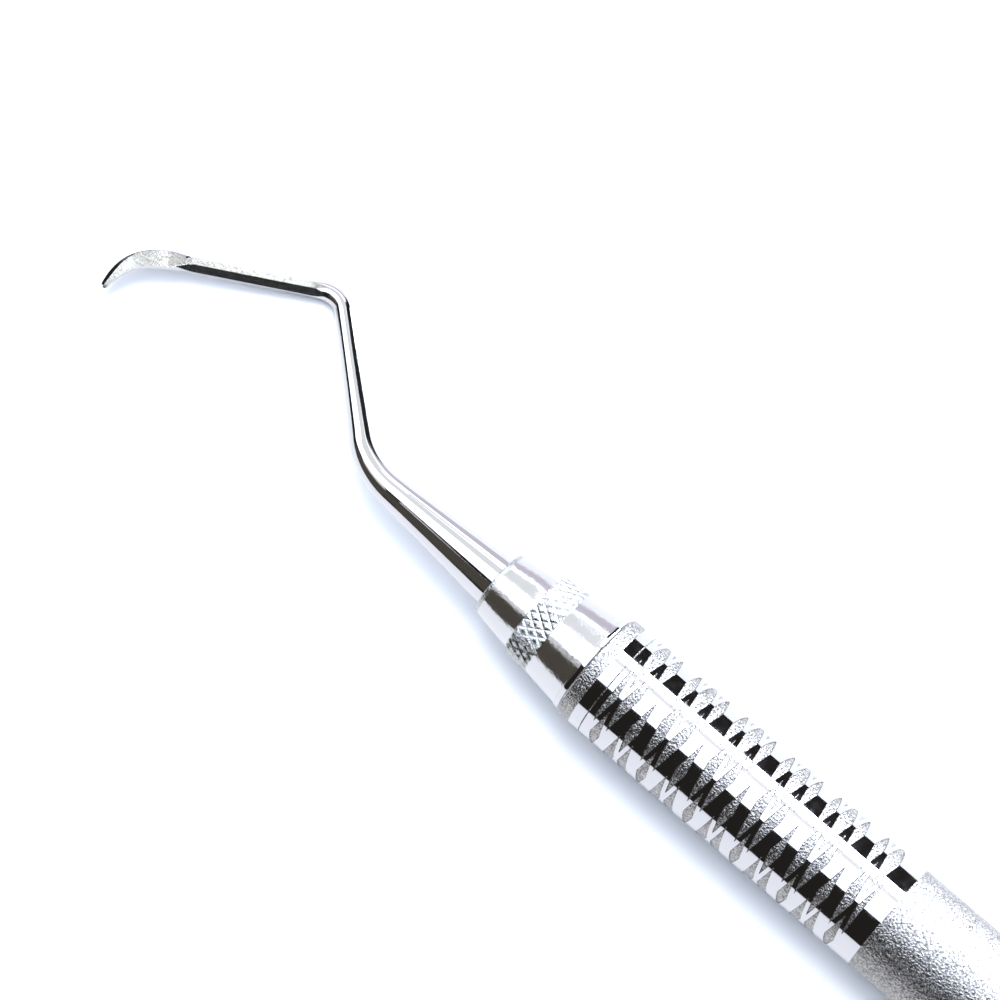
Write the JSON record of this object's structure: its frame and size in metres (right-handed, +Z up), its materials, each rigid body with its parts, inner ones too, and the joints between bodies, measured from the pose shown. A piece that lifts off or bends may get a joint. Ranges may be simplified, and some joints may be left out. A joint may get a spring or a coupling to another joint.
{
  "type": "dental hand scaler",
  "caption": "Double-ended hand scaler with a hollow grit-blasted handle, criss-cross ribbed grips, knurled screw-in cone collars and hooked sickle tips on angled shanks.",
  "frame": {"origin": "centre of the handle, on its axis, in the middle of the plain band between the two grips", "axes": "+X along the handle's axis towards the front tip; +Z up with the instrument lying on a table, where the handle and the second elbow of each shank touch the plane z = -4.75 mm; +Y towards the hollow side of the blades' hooks"},
  "size_m": [0.1822, 0.0152, 0.0094],
  "materials": {
    "barrel_steel": "fine grit-blasted satin, with mirror-polished ridges and rings in the grips",
    "polished_steel": "mirror polished, with a diamond knurl on the finger band",
    "tip_steel": "mirror-polished shank, with finely ground blade faces",
    "turned_steel": "as turned, satin",
    "seal_rubber": "matt black silicone rubber"
  },
  "bodies": {
    "handle": {"handle_barrel": "barrel_steel", "front_threaded_insert": "turned_steel", "rear_threaded_insert": "turned_steel"},
    "front_seal": {"front_seal_ring": "seal_rubber"},
    "front_end": {"front_cone_collar": "polished_steel", "front_scaler_tip": "tip_steel"},
    "rear_seal": {"rear_seal_ring": "seal_rubber"},
    "rear_end": {"rear_cone_collar": "polished_steel", "rear_scaler_tip": "tip_steel"}
  },
  "joints": [
    {"name": "front_thread_travel", "type": "slide", "parent": "handle", "child": "front_seal", "axis": [1, 0, 0], "range_m": [0, 0.0064]},
    {"name": "front_tip_unscrew", "type": "hinge", "parent": "front_seal", "child": "front_end", "pos_m": [0.04, 0, 0], "axis": [1, 0, 0], "range_deg": [0, 2881]},
    {"name": "rear_thread_travel", "type": "slide", "parent": "handle", "child": "rear_seal", "axis": [-1, 0, 0], "range_m": [0, 0.0064]},
    {"name": "rear_tip_unscrew", "type": "hinge", "parent": "rear_seal", "child": "rear_end", "pos_m": [-0.04, 0, 0], "axis": [-1, 0, 0], "range_deg": [0, 2881]}
  ],
  "couplings": [
    {"joint": "front_tip_unscrew", "follows": "front_thread_travel", "rad_per_m": 7854},
    {"joint": "rear_tip_unscrew", "follows": "rear_thread_travel", "rad_per_m": 7854}
  ]
}
